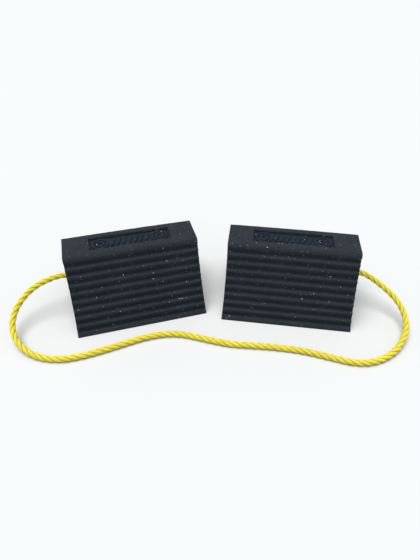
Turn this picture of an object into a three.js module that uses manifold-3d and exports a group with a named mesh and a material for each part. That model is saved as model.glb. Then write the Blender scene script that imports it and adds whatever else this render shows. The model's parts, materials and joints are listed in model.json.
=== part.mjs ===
// A pair of ribbed rubber wheel chocks joined by a length of laid rope.
// Millimetres, +Z up. The origin is on the ground, at the middle of the two chocks' footprint.
import * as THREE from 'three';
import { mergeVertices } from 'three/addons/utils/BufferGeometryUtils.js';
import Module from 'manifold-3d';

// ---- Driving dimensions ----

// The moulded block. Both chocks come from one mould.
const BLOCK_LENGTH = 203.2;
const BLOCK_HEIGHT = 114.6;
const TOP_WIDTH = 53.2;
const BASE_WIDTH = 163.6;
const RIB_PITCH = 12.95;
const RIB_HEIGHT = 3.6;
const RIB_COUNT = 8;
const FIRST_VALLEY = 13.1;
const LIP_RADIUS = 8;
const ARC_STEPS = 8;

// The rope hole, lengthwise through the block, and the pocket that holds the stopper knot.
const HOLE_RADIUS = 6.35;
const HOLE_HEIGHT = 62;
const POCKET_RADIUS = 19;
const POCKET_DEPTH = 40;

// The sunken panel in the top face, with its plain raised rings and bars.
const PANEL_LENGTH = 125.5;
const PANEL_WIDTH = 29;
const PANEL_DEPTH = 3.5;
const PANEL_SHIFT = -1.1;
const RING_OFFSET = 46;
const RINGS = [{ outer: 12.2, inner: 8.8 }, { outer: 7.2, inner: 3.4 }];
const BAR_COUNT = 7;
const BAR_PITCH = 8.8;
const BAR_WIDTH = 3.6;
const BAR_LENGTH = 15;
const BAR_SLANT = THREE.MathUtils.degToRad(-18);

// The rope.
const ROPE_RADIUS = 4.75;
const ROPE_SIDES = 10;
const ROPE_STEP = 17;
const ROPE_REST_HEIGHT = 4.9;
const ROPE_BEND_LENGTH = 180;
const KNOT_RADIUS = 14;
const KNOT_LENGTH = 27;

const GAP = 0.3;
const TAIL_SETBACK = 1.2;
const ROUND_STEPS = 32;

// Where each chock stands, and how it is turned. A block's rope comes out of its own +X end.
const LEFT_PLACE = { x: -123.4, y: 1.2, turn: THREE.MathUtils.degToRad(180 + 16.55) };
const RIGHT_PLACE = { x: 133.9, y: 8.8, turn: THREE.MathUtils.degToRad(-6.34) };

// The rope's free route between the two hole mouths, from left to right.
const R = ROPE_REST_HEIGHT;
const ROUTE = [
  [-230.5, -30.5, 63], [-245.5, -36.5, 62], [-268.5, -46.5, 54.5], [-286, -62, 44], [-295.5, -82, 33],
  [-295, -105, 21.5], [-282, -126, 12.5], [-262, -140.5, 7], [-238, -148.5, R], [-212, -149.5, R],
  [-186, -143.5, R], [-162, -134.5, R], [-138, -124, R], [-115, -113.5, R], [-91, -104, R],
  [-66, -98, R], [-40, -97.5, R], [-15, -103, R], [10, -109.5, R], [36, -115, R],
  [62, -117, R], [87, -118.5, R], [113, -121, R], [139, -125, R], [164.5, -131, R],
  [189.5, -138.5, R], [214, -145, R], [239, -145.5, R], [264.5, -137, 5.4], [286, -122, 7],
  [302, -103, 11], [311.5, -81, 17.5], [310.5, -57, 26.5], [299.5, -35.5, 36], [280.5, -19, 46],
  [261, -9.6, 55.5], [244, -4.4, 60.5],
];

// ---- Materials ----

const rubber = () => new THREE.MeshStandardMaterial({ color: 0x2c3238, roughness: 0.88, metalness: 0 });
const ropeFibre = () => new THREE.MeshStandardMaterial({ color: 0xdec649, roughness: 0.55, metalness: 0 });

// ---- Joining and cutting ----

const wasm = await Module();
wasm.setup();

// A closed three.js geometry as a solid that can be cut.
function solid(geometry) {
  const bare = geometry.clone();
  bare.deleteAttribute('normal');
  bare.deleteAttribute('uv');
  const merged = mergeVertices(bare, 1e-3);
  return new wasm.Manifold(new wasm.Mesh({
    numProp: 3,
    vertProperties: new Float32Array(merged.attributes.position.array),
    triVerts: new Uint32Array(merged.index.array),
  }));
}

// A solid back as a three.js geometry.
function geometryOf(body) {
  const mesh = body.getMesh();
  const geometry = new THREE.BufferGeometry();
  geometry.setAttribute('position', new THREE.BufferAttribute(new Float32Array(mesh.vertProperties), 3));
  geometry.setIndex(new THREE.BufferAttribute(new Uint32Array(mesh.triVerts), 1));
  geometry.computeVertexNormals();
  return geometry;
}

// A round rod along X, from one x to another.
function rodAlongX(radius, fromX, toX, height) {
  const rod = new THREE.CylinderGeometry(radius, radius, toX - fromX, ROUND_STEPS);
  rod.rotateZ(Math.PI / 2);
  rod.translate((fromX + toX) / 2, 0, height);
  return rod;
}

// An upright round post that passes through the top face.
function postInPanel(radius, x) {
  const post = new THREE.CylinderGeometry(radius, radius, 4 * PANEL_DEPTH, ROUND_STEPS);
  post.rotateX(Math.PI / 2);
  post.translate(x, 0, BLOCK_HEIGHT);
  return post;
}

// ---- The block ----

// One flank of the block's section, from the top corner to the ground, as points across and up.
function flankProfile() {
  const run = (BASE_WIDTH - TOP_WIDTH) / 2;
  const slant = Math.hypot(run, BLOCK_HEIGHT);
  const down = new THREE.Vector2(run / slant, -BLOCK_HEIGHT / slant);
  const out = new THREE.Vector2(BLOCK_HEIGHT / slant, run / slant);
  const corner = new THREE.Vector2(TOP_WIDTH / 2, BLOCK_HEIGHT);
  const along = (distance, offset) => (
    corner.clone().addScaledVector(down, distance).addScaledVector(out, offset)
  );
  const points = [];

  // The rounded lip, a fillet between the top face and the flank.
  const turn = Math.acos(out.y);
  const setback = LIP_RADIUS * Math.tan(turn / 2);
  for (let i = 0; i <= ARC_STEPS; i += 1) {
    const angle = (turn * i) / ARC_STEPS;
    const y = corner.x - setback + LIP_RADIUS * Math.sin(angle);
    const z = corner.y - LIP_RADIUS + LIP_RADIUS * Math.cos(angle);
    points.push(new THREE.Vector2(y, z));
  }

  // Each rib is a flat arc that stands on the line through the valleys.
  const arcRadius = (RIB_PITCH ** 2 / 4 + RIB_HEIGHT ** 2) / (2 * RIB_HEIGHT);
  const halfAngle = Math.asin(RIB_PITCH / 2 / arcRadius);
  const onRib = (start, share) => {
    const angle = halfAngle * (2 * share - 1);
    const distance = start + RIB_PITCH / 2 + arcRadius * Math.sin(angle);
    return along(distance, arcRadius * Math.cos(angle) - arcRadius);
  };
  for (let i = ARC_STEPS / 2; i < ARC_STEPS; i += 1) {
    points.push(onRib(FIRST_VALLEY - RIB_PITCH, i / ARC_STEPS));
  }
  for (let i = 0; i < RIB_COUNT * ARC_STEPS; i += 1) {
    const rib = Math.floor(i / ARC_STEPS);
    points.push(onRib(FIRST_VALLEY + rib * RIB_PITCH, i / ARC_STEPS - rib));
  }

  // Below the middle of the last rib the flank runs straight down to the ground.
  for (let i = 0; i <= ARC_STEPS / 2; i += 1) {
    points.push(onRib(FIRST_VALLEY + RIB_COUNT * RIB_PITCH, i / ARC_STEPS));
  }
  points.push(new THREE.Vector2(BASE_WIDTH / 2, 0));
  return points;
}

// The ribbed bar that the block is before it is cut.
function ribbedBar() {
  const flank = flankProfile();
  const mirrored = flank.map((p) => new THREE.Vector2(-p.x, p.y)).reverse();
  const section = new THREE.Shape([...flank, ...mirrored]);
  const bar = new THREE.ExtrudeGeometry(section, { depth: BLOCK_LENGTH, bevelEnabled: false });
  const across = new THREE.Vector3(0, 1, 0);
  const up = new THREE.Vector3(0, 0, 1);
  const lengthwise = new THREE.Vector3(1, 0, 0);
  bar.applyMatrix4(new THREE.Matrix4().makeBasis(across, up, lengthwise));
  bar.translate(-BLOCK_LENGTH / 2, 0, 0);
  return bar;
}

// What is taken out of the top face: a shallow panel that leaves two pairs of rings and a row of bars.
function panelCut() {
  const floor = new THREE.BoxGeometry(PANEL_LENGTH, PANEL_WIDTH, 2 * PANEL_DEPTH);
  floor.translate(PANEL_SHIFT, 0, BLOCK_HEIGHT);
  let cut = solid(floor);
  for (const side of [-1, 1]) {
    const x = PANEL_SHIFT + side * RING_OFFSET;
    for (const ring of RINGS) {
      const raised = solid(postInPanel(ring.outer, x)).subtract(solid(postInPanel(ring.inner, x)));
      cut = cut.subtract(raised);
    }
  }
  for (let i = 0; i < BAR_COUNT; i += 1) {
    const bar = new THREE.BoxGeometry(BAR_WIDTH, BAR_LENGTH, 4 * PANEL_DEPTH);
    bar.rotateZ(BAR_SLANT);
    bar.translate(PANEL_SHIFT + (i - (BAR_COUNT - 1) / 2) * BAR_PITCH, 0, BLOCK_HEIGHT);
    cut = cut.subtract(solid(bar));
  }
  return cut;
}

function blockGeometry() {
  const end = BLOCK_LENGTH / 2;
  const past = 5;
  const hole = solid(rodAlongX(HOLE_RADIUS, -end - past, end + past, HOLE_HEIGHT));
  const pocket = solid(rodAlongX(POCKET_RADIUS, -end - past, -end + POCKET_DEPTH, HOLE_HEIGHT));
  return geometryOf(solid(ribbedBar()).subtract(hole).subtract(pocket).subtract(panelCut()));
}

// ---- The rope's held ends ----

// The stretch inside the hole, from the knot to just inside the hole's mouth.
function tailGeometry() {
  const end = BLOCK_LENGTH / 2;
  return rodAlongX(ROPE_RADIUS, -end + POCKET_DEPTH, end - TAIL_SETBACK, HOLE_HEIGHT);
}

// The stopper knot, a barrel with the cut end of the rope standing out of it.
function knotGeometry() {
  const stub = 6;
  const profile = [new THREE.Vector2(0, 0)];
  for (let i = 0; i <= ARC_STEPS; i += 1) {
    const share = i / ARC_STEPS;
    const swell = Math.sin(Math.PI * share);
    profile.push(new THREE.Vector2(ROPE_RADIUS + (KNOT_RADIUS - ROPE_RADIUS) * swell, KNOT_LENGTH * share));
  }
  profile.push(new THREE.Vector2(ROPE_RADIUS, KNOT_LENGTH + stub));
  profile.push(new THREE.Vector2(0, KNOT_LENGTH + stub));
  const knot = new THREE.LatheGeometry(profile, ROUND_STEPS);
  knot.rotateZ(Math.PI / 2);
  knot.translate(-BLOCK_LENGTH / 2 + POCKET_DEPTH - GAP, 0, HOLE_HEIGHT);
  return knot;
}

// ---- The free rope ----

// The middle of a block's hole mouth, where its rope comes out.
function mouthOf(place) {
  const reach = BLOCK_LENGTH / 2;
  const x = place.x + reach * Math.cos(place.turn);
  const y = place.y + reach * Math.sin(place.turn);
  return new THREE.Vector3(x, y, HOLE_HEIGHT);
}

const freeRope = new THREE.CatmullRomCurve3([
  mouthOf(LEFT_PLACE),
  ...ROUTE.map((point) => new THREE.Vector3(...point)),
  mouthOf(RIGHT_PLACE),
], false, 'centripetal');
freeRope.arcLengthDivisions = 2000;
const ropeLength = freeRope.getLength();

// The part of the free rope between two distances from the left hole's mouth.
class RopeStretch extends THREE.Curve {
  constructor(from, to) {
    super();
    this.from = from;
    this.to = to;
  }

  getPoint(share, target = new THREE.Vector3()) {
    const distance = this.from + (this.to - this.from) * share;
    return freeRope.getPointAt(Math.min(distance / ropeLength, 1), target);
  }
}

// A plain tube along one stretch.
function ropeTube(from, to) {
  const ring = [];
  for (let i = 0; i < ROPE_SIDES; i += 1) {
    const angle = (2 * Math.PI * i) / ROPE_SIDES;
    ring.push(new THREE.Vector2(ROPE_RADIUS * Math.cos(angle), ROPE_RADIUS * Math.sin(angle)));
  }
  const steps = Math.ceil((to - from) / ROPE_STEP);
  const path = new RopeStretch(from, to);
  return new THREE.ExtrudeGeometry(new THREE.Shape(ring), { steps, extrudePath: path });
}

// ---- The assembly ----

function named(name, geometry, material) {
  const mesh = new THREE.Mesh(geometry, material);
  mesh.name = name;
  return mesh;
}

// One chock: the block, the rope inside it and the stopper knot.
function chock(side, place) {
  const group = new THREE.Group();
  group.position.set(place.x, place.y, 0);
  group.rotation.z = place.turn;
  group.add(named(`${side}_block`, blockGeometry(), rubber()));
  group.add(named(`${side}_rope_tail`, tailGeometry(), ropeFibre()));
  group.add(named(`${side}_knot`, knotGeometry(), ropeFibre()));
  return group;
}

const bendStart = (ropeLength - ROPE_BEND_LENGTH) / 2;
const bendEnd = (ropeLength + ROPE_BEND_LENGTH) / 2;

const assembly = new THREE.Group();
assembly.add(chock('left', LEFT_PLACE));
assembly.add(chock('right', RIGHT_PLACE));
assembly.add(named('rope_left_run', ropeTube(0, bendStart - GAP / 2), ropeFibre()));
assembly.add(named('rope_middle', ropeTube(bendStart + GAP / 2, bendEnd - GAP / 2), ropeFibre()));
assembly.add(named('rope_right_run', ropeTube(bendEnd + GAP / 2, ropeLength), ropeFibre()));

export default assembly;
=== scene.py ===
"""A pair of ribbed rubber wheel chocks joined by a yellow laid rope.

Everything is in metres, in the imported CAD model's frame. Each chock's moulding is one closed grid of quads.
The rope is one closed three-lobed skin swept along its route, and a stopper knot holds it in each chock.
"""

import json
import math

import bpy
import numpy as np
from mathutils import Matrix, Vector, noise


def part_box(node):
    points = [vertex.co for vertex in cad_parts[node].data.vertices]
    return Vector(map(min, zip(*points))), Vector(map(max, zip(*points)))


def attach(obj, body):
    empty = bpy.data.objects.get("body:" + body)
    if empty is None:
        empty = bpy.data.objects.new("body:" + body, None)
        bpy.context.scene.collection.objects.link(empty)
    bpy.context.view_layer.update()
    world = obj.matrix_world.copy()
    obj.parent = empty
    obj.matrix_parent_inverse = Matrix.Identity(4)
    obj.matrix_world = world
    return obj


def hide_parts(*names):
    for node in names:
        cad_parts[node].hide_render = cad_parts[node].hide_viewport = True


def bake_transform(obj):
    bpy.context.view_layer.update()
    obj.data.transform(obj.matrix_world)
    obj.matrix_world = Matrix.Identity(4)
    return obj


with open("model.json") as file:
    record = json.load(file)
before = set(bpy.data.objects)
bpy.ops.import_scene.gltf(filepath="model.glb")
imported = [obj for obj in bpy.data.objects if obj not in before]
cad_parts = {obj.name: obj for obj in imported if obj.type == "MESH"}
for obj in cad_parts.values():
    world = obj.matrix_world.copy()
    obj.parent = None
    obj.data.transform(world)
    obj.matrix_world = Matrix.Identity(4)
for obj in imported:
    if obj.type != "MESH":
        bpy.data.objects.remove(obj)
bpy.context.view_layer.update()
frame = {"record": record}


# ---- Driving sizes ----

# The moulded block. Its outer sizes are the CAD solid's, and its lip is a little sharper.
BLOCK_LENGTH = 0.2032
BLOCK_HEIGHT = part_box("left_block")[1].z
TOP_WIDTH = 0.0532
BASE_WIDTH = 0.1636
RIB_PITCH = 0.01295
RIB_HEIGHT = 0.0036
RIB_COUNT = 8
FIRST_VALLEY = 0.0134
LIP_RADIUS = 0.006
LIP_END = 0.0037

# Softening that the plain solid leaves out. Ribs have narrow valleys, and are fullest above their middles.
RIB_FULLNESS = 1.4
RIB_LEAN = 0.13
POINTS_PER_RIB = 11
FOOT_RADIUS = 0.0016
END_ROUNDING = 0.0007
MOUTH_ROUNDING = 0.0016
SURFACE_RELIEF = 0.00016
COARSE_RELIEF = 0.014
FINE_RELIEF = 0.0055
FINE_RELIEF_SHARE = 0.6

# How the moulding is out of true: its top crowned, its ends flared at top and foot and hollow between.
TOP_CROWN = 0.0006
TOP_FLARE = 0.0007
FOOT_FLARE = 0.0013
END_HOLLOW = 0.0012

# How worn the top face is, and how much painted shade darkens the panel's floor and walls below it.
TOP_WEAR = 0.7
PANEL_FLOOR_PAINTED_SHADE = 0.8
PANEL_WALL_PAINTED_SHADE = 0.9

# The rope hole and the knot's pocket.
HOLE_RADIUS = 0.00635
HOLE_HEIGHT = (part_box("left_rope_tail")[0].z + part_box("left_rope_tail")[1].z) / 2
POCKET_RADIUS = 0.019
POCKET_DEPTH = 0.040
END_FACE_INSET = 0.0026

# The sunken panel, a little deeper than the CAD solid's. Its rings and bars rise part of the way back.
PANEL_LENGTH = 0.1245
PANEL_WIDTH = 0.0302
PANEL_DEPTH = 0.0052
PANEL_CORNER = 0.0012
PANEL_SHIFT = -0.0006
RING_OFFSET = 0.046
RINGS = [(0.0134, 0.0096), (0.0076, 0.0034)]
BAR_COUNT = 7
BAR_PITCH = 0.0088
BAR_WIDTH = 0.0036
BAR_LENGTH = 0.015
BAR_SLANT = math.radians(-18)
RAISED_SHARE = 0.6
PANEL_EDGE = 0.0011
PANEL_MARGIN = 0.0012
PANEL_STEP = 0.0006
PANEL_STATIONS = 209

# The rope: three strands whose middles run round its own middle, once a lay.
ROPE_LAY = 0.036
STRAND_OFFSET = 0.0018
STRAND_RADIUS = 0.00295
YARNS_PER_STRAND = 12
YARN_HEIGHT = 0.00017
STRAND_SWELL = 0.02
SWELL_LENGTH = 0.02
STRAND_POINTS = 30
ROPE_STEP = 0.0015
ROPE_INSIDE = 0.006

# The stopper knot: nearly two wraps round the rope and its own end. The rope and its end lie side by side.
# The wraps go round both as an ellipse, from far out back towards the pocket's floor.
KNOT_APART = 0.0045
KNOT_WIDE = 0.0134
KNOT_NARROW = 0.0094
KNOT_NEAR = 0.0058
KNOT_FAR = 0.0225
KNOT_WRAPS = 1.8
KNOT_START = math.radians(60)
KNOT_POINTS = 22

# The free rope's route between the two hole mouths, as the CAD model has it.
REST = 0.0049
ROUTE = [
    (-0.2305, -0.0305, 0.063), (-0.2455, -0.0365, 0.062), (-0.2685, -0.0465, 0.0545), (-0.286, -0.062, 0.044),
    (-0.2955, -0.082, 0.033), (-0.295, -0.105, 0.0215), (-0.282, -0.126, 0.0125), (-0.262, -0.1405, 0.007),
    (-0.238, -0.1485, REST), (-0.212, -0.1495, REST), (-0.186, -0.1435, REST), (-0.162, -0.1345, REST),
    (-0.138, -0.124, REST), (-0.115, -0.1135, REST), (-0.091, -0.104, REST), (-0.066, -0.098, REST),
    (-0.040, -0.0975, REST), (-0.015, -0.103, REST), (0.010, -0.1095, REST), (0.036, -0.115, REST),
    (0.062, -0.117, REST), (0.087, -0.1185, REST), (0.113, -0.121, REST), (0.139, -0.125, REST),
    (0.1645, -0.131, REST), (0.1895, -0.1385, REST), (0.214, -0.145, REST), (0.239, -0.1455, REST),
    (0.2645, -0.137, 0.0054), (0.286, -0.122, 0.007), (0.302, -0.103, 0.011), (0.3115, -0.081, 0.0175),
    (0.3105, -0.057, 0.0265), (0.2995, -0.0355, 0.036), (0.2805, -0.019, 0.046), (0.261, -0.0096, 0.0555),
    (0.244, -0.0044, 0.0605),
]

SIDES = ("left", "right")


# ---- Camera and light ----

CAMERA_PLACE = (0.0031, -0.5310, 0.5075)
CAMERA_PITCH = math.radians(41.871)
CAMERA_ROLL = math.radians(1.0728)
CAMERA_LENS = 27.203
CAMERA_SENSOR = 36.0

SKY_STRENGTH = 0.75
OVERHEAD_STRENGTH = 3.5
OVERHEAD_SPREAD = math.radians(45)
OVERHEAD_FROM = (-0.18, 0.0, 1.0)
FLOOR_COLOUR = (0.55, 0.55, 0.55, 1.0)


def add_camera():
    data = bpy.data.cameras.new("camera")
    data.lens = CAMERA_LENS
    data.sensor_width = CAMERA_SENSOR
    data.sensor_fit = "AUTO"
    data.clip_start = 0.01
    data.clip_end = 50
    camera = bpy.data.objects.new("camera", data)
    tilt = Matrix.Rotation(math.pi / 2 - CAMERA_PITCH, 4, "X")
    roll = Matrix.Rotation(CAMERA_ROLL, 4, "Z")
    camera.matrix_world = Matrix.Translation(CAMERA_PLACE) @ tilt @ roll
    bpy.context.scene.collection.objects.link(camera)
    bpy.context.scene.camera = camera


def add_studio():
    """A pale floor, a pale even sky, and one wide soft light nearly overhead."""
    world = bpy.data.worlds.new("studio")
    world.use_nodes = True
    sky = world.node_tree.nodes["Background"]
    sky.inputs["Color"].default_value = (0.84, 0.93, 1.0, 1.0)
    sky.inputs["Strength"].default_value = SKY_STRENGTH
    bpy.context.scene.world = world
    bpy.context.scene.view_settings.view_transform = "Standard"

    data = bpy.data.lights.new("overhead", "SUN")
    data.energy = OVERHEAD_STRENGTH
    data.angle = OVERHEAD_SPREAD
    data.color = (1.0, 0.985, 0.95)
    overhead = bpy.data.objects.new("overhead", data)
    overhead.rotation_euler = (-Vector(OVERHEAD_FROM)).to_track_quat("-Z", "Y").to_euler()
    bpy.context.scene.collection.objects.link(overhead)

    corners = [(-6, -6, 0), (6, -6, 0), (6, 6, 0), (-6, 6, 0)]
    mesh = bpy.data.meshes.new("floor")
    mesh.from_pydata(corners, [], [(0, 1, 2, 3)])
    floor = bpy.data.objects.new("floor", mesh)
    paint = bpy.data.materials.new("floor_paint")
    paint.use_nodes = True
    surface = paint.node_tree.nodes["Principled BSDF"]
    surface.inputs["Base Color"].default_value = FLOOR_COLOUR
    surface.inputs["Roughness"].default_value = 0.9
    surface.inputs["Specular IOR Level"].default_value = 0.1
    mesh.materials.append(paint)
    bpy.context.scene.collection.objects.link(floor)


# ---- Where each chock stands ----

def chock_frame(side):
    """A chock's own frame: the origin under its middle, +X the way that its rope leaves it."""
    mount = next(m for m in frame["record"]["mounts"] if m["name"] == f"{side}_base")
    low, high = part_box(f"{side}_rope_tail")
    origin = Vector(mount["pos_m"])
    out = (low + high) / 2 - origin
    return Matrix.Translation(origin) @ Matrix.Rotation(math.atan2(out.y, out.x), 4, "Z")


def placed(points, matrix):
    """Points in a chock's own frame as an array of points in the row frame."""
    turned = np.array(matrix.to_3x3())
    return np.asarray(points) @ turned.T + np.array(matrix.translation)


# ---- Meshes from rings ----

def mesh_from_rings(name, rings, joined):
    """A closed smooth skin through rings of points. Its end rings are joined to each other, or capped."""
    count, size = rings.shape[:2]
    points = rings.reshape(-1, 3).tolist()
    faces = []
    for j in range(count if joined else count - 1):
        here = j * size
        there = (j + 1) % count * size
        faces += [(here + i, here + (i + 1) % size, there + (i + 1) % size, there + i) for i in range(size)]
    if not joined:
        last = (count - 1) * size
        points += [rings[0].mean(0).tolist(), rings[-1].mean(0).tolist()]
        faces += [(count * size, (i + 1) % size, i) for i in range(size)]
        faces += [(count * size + 1, last + i, last + (i + 1) % size) for i in range(size)]
    mesh = bpy.data.meshes.new(name)
    mesh.from_pydata(points, [], faces)
    mesh.polygons.foreach_set("use_smooth", [True] * len(faces))
    mesh.update()
    piece = bpy.data.objects.new(name, mesh)
    bpy.context.scene.collection.objects.link(piece)
    return piece


def set_attribute(piece, name, values):
    """A number or a vector for each point of a piece, for its material to read."""
    values = np.asarray(values, np.float32)
    kind, field = ("FLOAT_VECTOR", "vector") if values.ndim == 2 else ("FLOAT", "value")
    attribute = piece.data.attributes.new(name, kind, "POINT")
    attribute.data.foreach_set(field, values.ravel())


# ---- The rope ----

def centripetal_curve(knots, steps=60):
    """Points close together on the centripetal Catmull-Rom curve through the knots."""
    ends = (2 * knots[0] - knots[1], 2 * knots[-1] - knots[-2])
    p = np.vstack([ends[0], knots, ends[1]])
    t = (np.arange(steps) / steps)[:, None]
    spans = []
    for x0, x1, x2, x3 in zip(p, p[1:], p[2:], p[3:]):
        d0, d1, d2 = (math.sqrt(np.linalg.norm(b - a)) for a, b in ((x0, x1), (x1, x2), (x2, x3)))
        m1 = ((x1 - x0) / d0 - (x2 - x0) / (d0 + d1) + (x2 - x1) / d1) * d1
        m2 = ((x2 - x1) / d1 - (x3 - x1) / (d1 + d2) + (x3 - x2) / d2) * d1
        spans.append(x1 + m1 * t + (3 * (x2 - x1) - 2 * m1 - m2) * t**2 + (2 * (x1 - x2) + m1 + m2) * t**3)
    return np.vstack([*spans, knots[-1]])


def evenly_spaced(line, step):
    """The same line with its points about one step apart, and how far along it each is."""
    along = np.concatenate([[0], np.cumsum(np.linalg.norm(np.diff(line, axis=0), axis=1))])
    distance = np.linspace(0, along[-1], round(along[-1] / step) + 1)
    return np.stack([np.interp(distance, along, line[:, k]) for k in range(3)], axis=1), distance


def carried_frames(line):
    """The line's two cross directions at each point, carried along it without any twist."""
    ahead = np.gradient(line, axis=0)
    ahead /= np.linalg.norm(ahead, axis=1)[:, None]
    side = np.cross(ahead[0], (0, 0, 1))
    sides = []
    for direction in ahead:
        side = side - direction * (side @ direction)
        side = side / np.linalg.norm(side)
        sides.append(side)
    sides = np.array(sides)
    return sides, np.cross(ahead, sides)


def laid_rope(name, line):
    """Three strands laid right-handed round a line: one closed skin, with grooves between them and yarns."""
    line, along = evenly_spaced(line, ROPE_STEP)
    side, up = carried_frames(line)
    meet = STRAND_OFFSET * math.cos(math.pi / 3) + math.sqrt(
        STRAND_RADIUS**2 - (STRAND_OFFSET * math.sin(math.pi / 3)) ** 2)
    groove = math.atan2(meet * math.sin(math.pi / 3), meet * math.cos(math.pi / 3) - STRAND_OFFSET)
    angle = np.linspace(-groove, groove, STRAND_POINTS + 1)[:-1]
    fade = 1 - np.abs(angle / groove) ** 6
    rings = []
    straight = []
    depth = []
    for point, x_way, y_way, distance in zip(line, side, up, along):
        ring = []
        for strand in range(3):
            turn = 2 * math.pi * (distance / ROPE_LAY + strand / 3)
            yarns = np.abs(np.cos(YARNS_PER_STRAND / 2 * (turn + angle))) - 0.6
            swell = noise.noise(Vector((distance / SWELL_LENGTH, strand * 7.3, 0.5)))
            radius = STRAND_RADIUS * (1 + STRAND_SWELL * swell * fade) + YARN_HEIGHT * fade * yarns
            across = STRAND_OFFSET * math.cos(turn) + radius * np.cos(turn + angle)
            upward = STRAND_OFFSET * math.sin(turn) + radius * np.sin(turn + angle)
            ring.append(np.stack([across, upward], axis=1))
            depth.append(np.abs(angle / groove))
        ring = np.vstack(ring)
        rings.append(point + ring[:, :1] * x_way + ring[:, 1:] * y_way)
        straight.append(np.column_stack([np.full(len(ring), distance), ring]))
    piece = mesh_from_rings(name, np.array(rings), joined=False)
    caps = [[0.0, 0.0, 0.0], [along[-1], 0.0, 0.0]]
    set_attribute(piece, "straight", np.vstack([*straight, caps]))
    set_attribute(piece, "groove", np.concatenate([*depth, [0.5, 0.5]]))
    return piece


def free_rope(frames):
    """The rope between the two chocks. It starts and ends a little way inside their holes."""
    end = BLOCK_LENGTH / 2
    mouth = {side: placed([(end, 0, HOLE_HEIGHT)], frames[side])[0] for side in SIDES}
    inside = {side: placed([(end - ROPE_INSIDE, 0, HOLE_HEIGHT)], frames[side])[0] for side in SIDES}
    seen = centripetal_curve(np.array([mouth["left"], *ROUTE, mouth["right"]]))
    route = np.vstack([inside["left"], seen, inside["right"]])
    rope = laid_rope("rope", route)
    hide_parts("rope_left_run", "rope_middle", "rope_right_run")
    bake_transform(rope)
    return rope


def stopper_route():
    """The rope's hidden end in a chock's own frame, from inside the hole to its knot in the pocket.

    The knot's own points are how far out of the pocket's floor, how far across, and how far above the hole.
    """
    start = BLOCK_LENGTH / 2 - ROPE_INSIDE
    floor = POCKET_DEPTH - BLOCK_LENGTH / 2
    standing = [
        (0.002, 0, 0), (0.008, -0.6 * KNOT_APART, 0), (0.015, -KNOT_APART, 0), (0.020, -KNOT_APART, 0),
    ]
    crossing = [(0.0265, -KNOT_APART, 0.0025), (0.0285, -0.0005, 0.0078)]
    turn = np.linspace(KNOT_START, KNOT_START - 2 * math.pi * KNOT_WRAPS, KNOT_POINTS)
    outwards = np.linspace(KNOT_FAR, KNOT_NEAR, KNOT_POINTS)
    wraps = np.stack([outwards, KNOT_WIDE * np.cos(turn), KNOT_NARROW * np.sin(turn)], axis=1)
    tucked = [
        (0.0075, KNOT_APART + 0.001, 0), (0.015, KNOT_APART, 0),
        (0.025, KNOT_APART, 0), (0.035, KNOT_APART, 0),
    ]
    knot = np.vstack([standing, crossing, wraps, tucked])
    tied = np.stack([floor - knot[:, 0], knot[:, 1], knot[:, 2] + HOLE_HEIGHT], axis=1)
    through = np.linspace((start, 0, HOLE_HEIGHT), (floor, 0, HOLE_HEIGHT), 9)
    return np.vstack([through, tied])


def stopper(side, matrix):
    """The rope inside one chock with its stopper knot."""
    piece = laid_rope(f"{side}_stopper", centripetal_curve(placed(stopper_route(), matrix)))
    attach(piece, f"{side}_chock")
    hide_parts(f"{side}_knot", f"{side}_rope_tail")
    return piece


# ---- The block ----

# The flank's line along its rib crests: its directions down and out, as across and up.
FLANK_RUN = (BASE_WIDTH - TOP_WIDTH) / 2
FLANK_SLANT = math.hypot(FLANK_RUN, BLOCK_HEIGHT)
FLANK_DOWN = np.array([FLANK_RUN, -BLOCK_HEIGHT]) / FLANK_SLANT
FLANK_OUT = np.array([BLOCK_HEIGHT, FLANK_RUN]) / FLANK_SLANT


def flank():
    """One flank of the section from the top face to the ground, as points across and up."""
    corner = np.array([TOP_WIDTH / 2, BLOCK_HEIGHT])

    turn = math.acos(FLANK_OUT[1])
    setback = LIP_RADIUS * math.tan(turn / 2)
    angle = np.linspace(0, turn, 8)[:-1]
    lip = np.stack([corner[0] - setback + LIP_RADIUS * np.sin(angle),
                    corner[1] - LIP_RADIUS + LIP_RADIUS * np.cos(angle)], axis=1)

    share = np.arange(POINTS_PER_RIB) / POINTS_PER_RIB
    starts = FIRST_VALLEY + RIB_PITCH * np.arange(RIB_COUNT)
    ribs = (starts[:, None] + RIB_PITCH * share).ravel()
    before = np.linspace(setback, FIRST_VALLEY, 9)[:-1]
    last_start = FIRST_VALLEY + RIB_COUNT * RIB_PITCH
    after = last_start + RIB_PITCH * share
    distance = np.concatenate([before, ribs, after])
    face = corner + distance[:, None] * FLANK_DOWN + rib_offset(distance)[:, None] * FLANK_OUT
    face = face[face[:, 1] > FOOT_RADIUS]

    foot = face[-1]
    heading = foot - face[-2]
    sharp = foot + heading * (foot[1] / -heading[1])
    inner = np.array([sharp[0] - FOOT_RADIUS, 0])
    t = np.linspace(0, 1, 7)[1:, None]
    rounded = foot * (1 - t) ** 2 + sharp * 2 * t * (1 - t) + inner * t**2
    return np.vstack([lip, face, rounded])


def rib_offset(distance):
    """How far the flank stands off the line along its crests: rounded ribs, each fullest above its middle."""
    ribs_down = (distance - FIRST_VALLEY) / RIB_PITCH
    leaning = ribs_down + RIB_LEAN * np.sin(np.pi * ribs_down) ** 2
    under_lip = 0.5 * (distance - LIP_END) / (FIRST_VALLEY - LIP_END) - 0.5
    share = np.where(distance < FIRST_VALLEY, under_lip, leaning)
    sunk = np.cos(np.pi * np.clip(share, -0.5, RIB_COUNT + 0.5)) ** 2
    return -RIB_HEIGHT * sunk**RIB_FULLNESS


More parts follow.
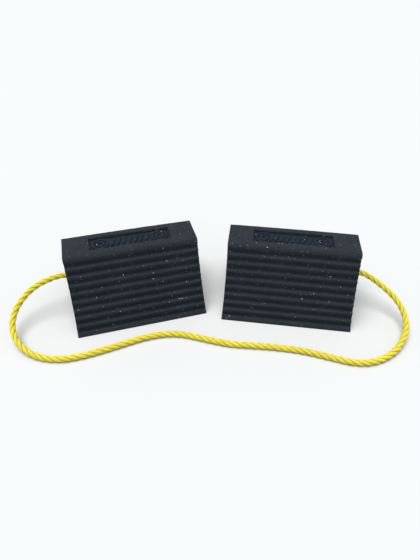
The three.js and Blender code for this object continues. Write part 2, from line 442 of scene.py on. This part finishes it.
def section():
    """The block's section once round from the top's middle, and its outward directions."""
    right = flank()
    edge = right[0, 0]
    fine = np.arange(0, PANEL_WIDTH / 2 + PANEL_MARGIN, PANEL_STEP)
    coarse = np.linspace(fine[-1], edge, 5)[1:-1]
    half_top = np.concatenate([fine, coarse])
    top = np.stack([half_top, np.full(len(half_top), BLOCK_HEIGHT)], axis=1)
    under = np.linspace(right[-1, 0], 0, 7)[1:]
    base = np.stack([under, np.zeros(len(under))], axis=1)
    half = np.vstack([top, right, base])
    mirrored = half[1:-1][::-1] * (-1, 1)
    loop = np.vstack([half, mirrored])
    along = np.roll(loop, -1, axis=0) - np.roll(loop, 1, axis=0)
    out = np.stack([-along[:, 1], along[:, 0]], axis=1)
    return loop, out / np.linalg.norm(out, axis=1)[:, None]


def soft_step(inside, edge):
    """0 outside a shape and 1 inside it, rising smoothly over the width of its edge."""
    t = np.clip(inside / edge + 0.5, 0, 1)
    return t * t * (3 - 2 * t)


def panel_relief(x, y):
    """How far the top face is sunk at each place: a panel with two pairs of rings and a row of bars."""
    x = x - PANEL_SHIFT
    past_x = np.abs(x) - PANEL_LENGTH / 2 + PANEL_CORNER
    past_y = np.abs(y) - PANEL_WIDTH / 2 + PANEL_CORNER
    past_corner = np.hypot(np.maximum(past_x, 0), np.maximum(past_y, 0))
    panel = PANEL_CORNER - past_corner - np.minimum(np.maximum(past_x, past_y), 0)
    marks = np.full(x.shape, -1.0)
    for way in (-1, 1):
        reach = np.hypot(x - way * RING_OFFSET, y)
        for outer, inner in RINGS:
            marks = np.maximum(marks, np.minimum(outer - reach, reach - inner))
    for i in range(BAR_COUNT):
        off = x - (i - (BAR_COUNT - 1) / 2) * BAR_PITCH
        across = off * math.cos(BAR_SLANT) + y * math.sin(BAR_SLANT)
        lengthwise = y * math.cos(BAR_SLANT) - off * math.sin(BAR_SLANT)
        bar = np.minimum(BAR_WIDTH / 2 - np.abs(across), BAR_LENGTH / 2 - np.abs(lengthwise))
        marks = np.maximum(marks, bar)
    raised = RAISED_SHARE * soft_step(marks, PANEL_EDGE)
    return PANEL_DEPTH * soft_step(panel, PANEL_EDGE) * (1 - raised)


def length_stations():
    """Places along the block: close together over the panel, wider apart beyond it."""
    low = PANEL_SHIFT - PANEL_LENGTH / 2 - PANEL_MARGIN
    high = PANEL_SHIFT + PANEL_LENGTH / 2 + PANEL_MARGIN
    end = BLOCK_LENGTH / 2 - END_ROUNDING
    before = np.linspace(-end, low, 17)[:-1]
    over = np.linspace(low, high, PANEL_STATIONS)
    after = np.linspace(high, end, 19)[1:]
    return np.concatenate([before, over, after])[::-1]


def inner_outline(loop, inset):
    """The section drawn in to a smooth shape without ribs, point for point, for the middle of an end face."""
    low, high = 2 * inset, BLOCK_HEIGHT - 2 * inset
    level = np.array([low, high])
    reach = TOP_WIDTH / 2 + (BLOCK_HEIGHT - level) * FLANK_RUN / BLOCK_HEIGHT - 2 * inset / FLANK_OUT[0]
    corners = np.array([(reach[1], high), (reach[0], low), (-reach[0], low), (-reach[1], high)])
    best = np.full(len(loop), np.inf)
    nearest = np.zeros_like(loop)
    for a, b in zip(corners, np.roll(corners, -1, axis=0)):
        share = np.clip((loop - a) @ (b - a) / ((b - a) @ (b - a)), 0, 1)
        foot = a + share[:, None] * (b - a)
        gap = np.linalg.norm(loop - foot, axis=1)
        nearest[gap < best] = foot[gap < best]
        best = np.minimum(best, gap)
    return nearest + inset * (loop - nearest) / best[:, None]


def circle_facing(outline, radius):
    """A circle round the hole, each point in line with the outline's own point."""
    away = outline - (0, HOLE_HEIGHT)
    return (0, HOLE_HEIGHT) + radius * away / np.linalg.norm(away, axis=1)[:, None]


def ring_at(x, outline):
    """A ring of the block at one place along it."""
    return np.column_stack([np.full(len(outline), x), outline])


def end_rings(loop, out, end, radius, rounding):
    """From the hole's edge out over one end face and round the end's edge."""
    way = math.copysign(1, end)
    rings = []
    inner = inner_outline(loop, END_FACE_INSET)
    for angle in np.linspace(0, math.pi / 2, 5):
        x = end - way * rounding * (1 - math.sin(angle))
        rings.append(ring_at(x, circle_facing(inner, radius + rounding * (1 - math.cos(angle)))))
    hole = circle_facing(inner, radius + rounding)
    for share in np.linspace(0, 1, 13)[1:]:
        rings.append(ring_at(end, hole + (inner - hole) * share))
    for angle in np.linspace(math.pi / 2, 0, 5):
        x = end - way * END_ROUNDING * (1 - math.sin(angle))
        rings.append(ring_at(x, loop - out * END_ROUNDING * (1 - math.cos(angle))))
    return rings


def block_rings():
    """The moulding's rings, from the rope hole's mouth over the outside and back through the hole.

    With them come the index of the first ring after the rope's end face and how many rings the outside has.
    """
    loop, out = section()
    end = BLOCK_LENGTH / 2
    rope_end = end_rings(loop, out, end, HOLE_RADIUS, MOUTH_ROUNDING)
    pocket_end = end_rings(loop, out, -end, POCKET_RADIUS, END_ROUNDING)
    outside = [ring_at(x, loop) for x in length_stations()[1:-1]]
    inner = inner_outline(loop, END_FACE_INSET)
    floor = -end + POCKET_DEPTH
    along_pocket = np.linspace(-end + 0.004, floor - 0.001, 9)
    across_floor = np.linspace(POCKET_RADIUS - 0.001, HOLE_RADIUS + 0.001, 5)
    along_hole = np.linspace(floor + 0.001, end - 0.005, 12)
    pocket = [ring_at(x, circle_facing(inner, POCKET_RADIUS)) for x in along_pocket]
    base = [ring_at(floor, circle_facing(inner, radius)) for radius in across_floor]
    hole = [ring_at(x, circle_facing(inner, HOLE_RADIUS)) for x in along_hole]
    rings = np.array([*rope_end, *outside, *pocket_end[::-1], *pocket, *base, *hole])
    return rings, len(rope_end), len(outside)


def wear_and_painted_shade(rings, relief):
    """A tint level at each point: 1 along the crests for wear and a painted highlight, 0 for painted shade in
    the valleys and below them, little for painted shade in the panel.
    """
    across = TOP_WIDTH / 2 - np.abs(rings[..., 1])
    down = BLOCK_HEIGHT - rings[..., 2]
    below_crest = across * FLANK_OUT[0] + down * FLANK_OUT[1]
    # Wear with a painted highlight: lighter along the crests. Painted shade: darker in the valleys and
    # everywhere further below the crest line.
    wear_and_shade = np.clip(1 - below_crest / RIB_HEIGHT, 0, 1)
    on_top = rings[..., 2] > BLOCK_HEIGHT - LIP_RADIUS / 4
    sunk = relief / PANEL_DEPTH
    # Painted shade in the panel's recess: its floor darker than the top face, darkest along its walls and the
    # marks' edges.
    panel_painted_shade = (1 - PANEL_FLOOR_PAINTED_SHADE * sunk) * (1 - 4 * PANEL_WALL_PAINTED_SHADE * sunk * (1 - sunk))
    return np.where(on_top, TOP_WEAR * panel_painted_shade, wear_and_shade)


def unevenness(point):
    """How far the moulded skin stands off its true shape at a point, as a share of SURFACE_RELIEF."""
    coarse = noise.noise(point / COARSE_RELIEF)
    return coarse + FINE_RELIEF_SHARE * noise.noise(point / FINE_RELIEF)


def block_points(matrix):
    """The moulding's rings in the row frame, panel sunk, ends hollow, skin uneven, and its wear and painted
    light.
    """
    rings, first, count = block_rings()
    relief = np.zeros(rings.shape[:2])
    outside = rings[first:first + count]
    on_top = np.abs(outside[..., 2] - BLOCK_HEIGHT) < 1e-7
    relief[first:first + count] = np.where(on_top, panel_relief(outside[..., 0], outside[..., 1]), 0)
    wear_and_shade = wear_and_painted_shade(rings, relief)
    share = rings[..., 0] / (BLOCK_LENGTH / 2)
    level = rings[..., 2] / BLOCK_HEIGHT
    bulge = FOOT_FLARE + (TOP_FLARE - FOOT_FLARE) * level - END_HOLLOW * 4 * level * (1 - level)
    rings[..., 0] += bulge * np.sign(share) * share**6
    rings[..., 2] += TOP_CROWN * level**4 * (0.6 - share**2) - relief
    rings = placed(rings, matrix)
    flow = np.cross(np.roll(rings, -1, axis=1) - np.roll(rings, 1, axis=1),
                    np.roll(rings, -1, axis=0) - np.roll(rings, 1, axis=0))
    flow /= np.maximum(np.linalg.norm(flow, axis=2), 1e-12)[..., None]
    lift = np.array([unevenness(Vector(point)) for point in rings.reshape(-1, 3)]).reshape(rings.shape[:2])
    lift[rings[..., 2] < 0.002] = 0
    return rings + SURFACE_RELIEF * lift[..., None] * flow, wear_and_shade


def rubber_block(side, matrix, material):
    points, wear_and_shade = block_points(matrix)
    piece = mesh_from_rings(f"{side}_moulding", points, joined=True)
    set_attribute(piece, "wear_and_shade", wear_and_shade.ravel())
    piece.data.materials.append(material)
    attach(piece, f"{side}_chock")
    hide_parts(f"{side}_block")
    return piece


# ---- Materials ----

def add_node(tree, kind, inputs=None, **settings):
    """A node with its settings, and its inputs set to a value or linked to another node's output."""
    node = tree.nodes.new(kind)
    for name, value in settings.items():
        setattr(node, name, value)
    for name, value in (inputs or {}).items():
        if isinstance(value, bpy.types.NodeSocket):
            tree.links.new(value, node.inputs[name])
        else:
            node.inputs[name].default_value = value
    return node


def maths(tree, operation, a, b=0.0, clamp=False):
    return add_node(tree, "ShaderNodeMath", {0: a, 1: b}, operation=operation, use_clamp=clamp).outputs[0]


def noise_at(tree, place, scale, detail=3.0, roughness=0.5):
    """Noise from 0 to 1 whose scale is in waves a metre."""
    inputs = {"Vector": place, "Scale": scale, "Detail": detail, "Roughness": roughness}
    return add_node(tree, "ShaderNodeTexNoise", inputs).outputs["Fac"]


def ramp(tree, factor, stops):
    """A colour or grey picked from stops, which are (place, colour) pairs."""
    node = add_node(tree, "ShaderNodeValToRGB", {"Fac": factor})
    marks = node.color_ramp.elements
    while len(marks) < len(stops):
        marks.new(0.5)
    for mark, (place, colour) in zip(marks, stops):
        mark.position = place
        mark.color = (*colour, 1.0)
    return node.outputs["Color"]


def mixed(tree, factor, a, b, mode="MIX"):
    """Two colours mixed by a factor."""
    node = tree.nodes.new("ShaderNodeMix")
    node.data_type = "RGBA"
    node.blend_type = mode
    for index, value in ((0, factor), (6, a), (7, b)):
        if isinstance(value, bpy.types.NodeSocket):
            tree.links.new(value, node.inputs[index])
        else:
            node.inputs[index].default_value = value if index == 0 else (*value, 1.0)
    return node.outputs[2]


def stretched(tree, place, scale, shift):
    """The same coordinates scaled along each axis and moved."""
    inputs = {"Vector": place, "Scale": scale, "Location": shift}
    return add_node(tree, "ShaderNodeMapping", inputs).outputs[0]


def vector_maths(tree, operation, inputs):
    return add_node(tree, "ShaderNodeVectorMath", inputs, operation=operation).outputs[0]


# How far a crumb's outline strays from round.
CRUMB_RAGGEDNESS = 0.0012


def crumbs(tree, place, cell, share, smallest, largest, stretch, shift):
    """Pale crumbs of other rubber, at most one to a cell: how strongly each shows, and its own tone."""
    wander = add_node(tree, "ShaderNodeTexNoise", {"Vector": place, "Scale": 900.0, "Detail": 2.0})
    centred = vector_maths(tree, "SUBTRACT", {0: wander.outputs["Color"], 1: (0.5, 0.5, 0.5)})
    ragged = vector_maths(tree, "SCALE", {0: centred, "Scale": CRUMB_RAGGEDNESS})
    moved = vector_maths(tree, "ADD", {0: place, 1: ragged})
    inputs = {"Vector": stretched(tree, moved, stretch, shift), "Scale": 1 / cell}
    cells = add_node(tree, "ShaderNodeTexVoronoi", inputs, feature="F1")
    own = add_node(tree, "ShaderNodeSeparateColor", {"Color": cells.outputs["Color"]})
    chosen = maths(tree, "LESS_THAN", own.outputs[0], share)
    radius = maths(tree, "MULTIPLY_ADD", own.outputs[1], (largest - smallest) / cell)
    radius.node.inputs[2].default_value = smallest / cell
    inside = maths(tree, "SUBTRACT", radius, cells.outputs["Distance"])
    edge = maths(tree, "MULTIPLY", inside, 5 * cell / largest, clamp=True)
    return maths(tree, "MULTIPLY", edge, chosen), own.outputs[2]


# The crumbs' cells, the share of cells that hold one, and their radii, in metres.
FAINT_CRUMBS = {
    "cell": 0.0044, "share": 0.7, "smallest": 0.0003, "largest": 0.0008,
    "stretch": (1.0, 1.25, 0.8), "shift": (0.31, 0.17, 0.05),
}
BRIGHT_CRUMBS = {
    "cell": 0.0060, "share": 0.5, "smallest": 0.00035, "largest": 0.0008,
    "stretch": (1.2, 0.8, 1.0), "shift": (0.02, 0.43, 0.27),
}

# Each ramp below is a list of stops: a place from 0 to 1 and the colour there.
PATCH_TONES = [(0.3, (0.0122, 0.0162, 0.0218)), (0.7, (0.0160, 0.0206, 0.0270))]
GRAIN_TINTS = [(0.3, (0.72, 0.72, 0.72)), (0.7, (1.3, 1.3, 1.28))]
# Wear and painted light on the rubber: dark blue painted shade at 0 in the valleys and the panel, pale warm
# wear with a painted highlight at 1 on the crests.
WEAR_AND_SHADE_TINTS = [
    (0.0, (0.58, 0.72, 0.86)), (0.3, (0.78, 0.88, 0.98)), (0.6, (0.96, 0.98, 1.0)), (1.0, (1.20, 1.12, 1.02)),
]
FAINT_CRUMB_TONES = [(0.0, (0.06, 0.06, 0.056)), (0.5, (0.125, 0.12, 0.105)), (1.0, (0.20, 0.20, 0.19))]
BRIGHT_CRUMB_TONES = [(0.0, (0.19, 0.165, 0.12)), (0.5, (0.32, 0.32, 0.30)), (1.0, (0.60, 0.61, 0.60))]
RUBBER_ROUGHNESS = [(0.25, (0.74, 0.74, 0.74)), (0.75, (0.92, 0.92, 0.92))]
FIBRE_TONES = [(0.3, (0.53, 0.40, 0.036)), (0.5, (0.64, 0.55, 0.048)), (0.7, (0.74, 0.70, 0.064))]
WASH_TINTS = [(0.3, (0.90, 0.88, 0.80)), (0.7, (1.0, 1.0, 1.0))]
# Painted shade in the rope's grooves, darkest where the strands meet.
GROOVE_PAINTED_SHADE = [(0.75, (1.0, 1.0, 1.0)), (0.92, (0.74, 0.62, 0.48)), (1.0, (0.42, 0.28, 0.15))]
ROPE_ROUGHNESS = [(0.3, (0.70, 0.70, 0.70)), (0.7, (0.55, 0.55, 0.55))]


def rubber_material():
    """Moulded crumb rubber: nearly black, blue-grey, matt and finely mottled, with scattered pale crumbs."""
    material = bpy.data.materials.new("rubber")
    material.use_nodes = True
    tree = material.node_tree
    surface = tree.nodes["Principled BSDF"]
    place = add_node(tree, "ShaderNodeTexCoord").outputs["Object"]

    patches = ramp(tree, noise_at(tree, place, 34.0), PATCH_TONES)
    grain = ramp(tree, noise_at(tree, place, 520.0, 4.0, 0.65), GRAIN_TINTS)
    colour = mixed(tree, 1.0, patches, grain, "MULTIPLY")
    # The tint below is wear with a painted highlight on the crests, and painted shade in the valleys, the
    # panel and below the crest line.
    wear_and_shade = add_node(tree, "ShaderNodeAttribute", attribute_name="wear_and_shade").outputs["Fac"]
    wear_and_shade_tint = ramp(tree, wear_and_shade, WEAR_AND_SHADE_TINTS)
    colour = mixed(tree, 1.0, colour, wear_and_shade_tint, "MULTIPLY")

    faint, faint_tone = crumbs(tree, place, **FAINT_CRUMBS)
    bright, bright_tone = crumbs(tree, place, **BRIGHT_CRUMBS)
    colour = mixed(tree, faint, colour, ramp(tree, faint_tone, FAINT_CRUMB_TONES))
    colour = mixed(tree, bright, colour, ramp(tree, bright_tone, BRIGHT_CRUMB_TONES))
    tree.links.new(colour, surface.inputs["Base Color"])

    fine = noise_at(tree, place, 1400.0, 5.0, 0.7)
    gloss = ramp(tree, noise_at(tree, place, 210.0), RUBBER_ROUGHNESS)
    tree.links.new(gloss, surface.inputs["Roughness"])
    surface.inputs["Specular IOR Level"].default_value = 0.15
    height = maths(tree, "ADD", fine, maths(tree, "MULTIPLY", noise_at(tree, place, 380.0), 1.4))
    bump = add_node(tree, "ShaderNodeBump", {"Height": height, "Strength": 0.55, "Distance": 0.00025})
    tree.links.new(bump.outputs[0], surface.inputs["Normal"])
    return material


def rope_material():
    """Laid plastic fibre: yellow, satin, streaked along the rope, with painted shade in the grooves between
    strands.
    """
    material = bpy.data.materials.new("rope_fibre")
    material.use_nodes = True
    tree = material.node_tree
    surface = tree.nodes["Principled BSDF"]
    straight = add_node(tree, "ShaderNodeAttribute", attribute_name="straight").outputs["Vector"]
    groove = add_node(tree, "ShaderNodeAttribute", attribute_name="groove").outputs["Fac"]

    fibres = stretched(tree, straight, (0.045, 1.0, 1.0), (0.0, 0.0, 0.0))
    streak = noise_at(tree, fibres, 2600.0, 3.0, 0.6)
    wash = noise_at(tree, straight, 60.0)
    colour = ramp(tree, streak, FIBRE_TONES)
    colour = mixed(tree, 1.0, colour, ramp(tree, wash, WASH_TINTS), "MULTIPLY")
    # Painted shade in the grooves between the strands.
    colour = mixed(tree, 1.0, colour, ramp(tree, groove, GROOVE_PAINTED_SHADE), "MULTIPLY")
    tree.links.new(colour, surface.inputs["Base Color"])

    gloss = ramp(tree, streak, ROPE_ROUGHNESS)
    tree.links.new(gloss, surface.inputs["Roughness"])
    surface.inputs["Specular IOR Level"].default_value = 0.12
    surface.inputs["Subsurface Weight"].default_value = 0.5
    surface.inputs["Subsurface Radius"].default_value = (1.0, 0.85, 0.3)
    surface.inputs["Subsurface Scale"].default_value = 0.004
    bump = add_node(tree, "ShaderNodeBump", {"Height": streak, "Strength": 0.7, "Distance": 0.0003})
    tree.links.new(bump.outputs[0], surface.inputs["Normal"])
    return material


# ---- The whole object ----

add_camera()
frames = {side: chock_frame(side) for side in SIDES}
rope_fibre = rope_material()
rope = free_rope(frames)
rope.data.materials.append(rope_fibre)
rubber = rubber_material()
for side in SIDES:
    rubber_block(side, frames[side], rubber)
    stopper(side, frames[side]).data.materials.append(rope_fibre)
add_studio()
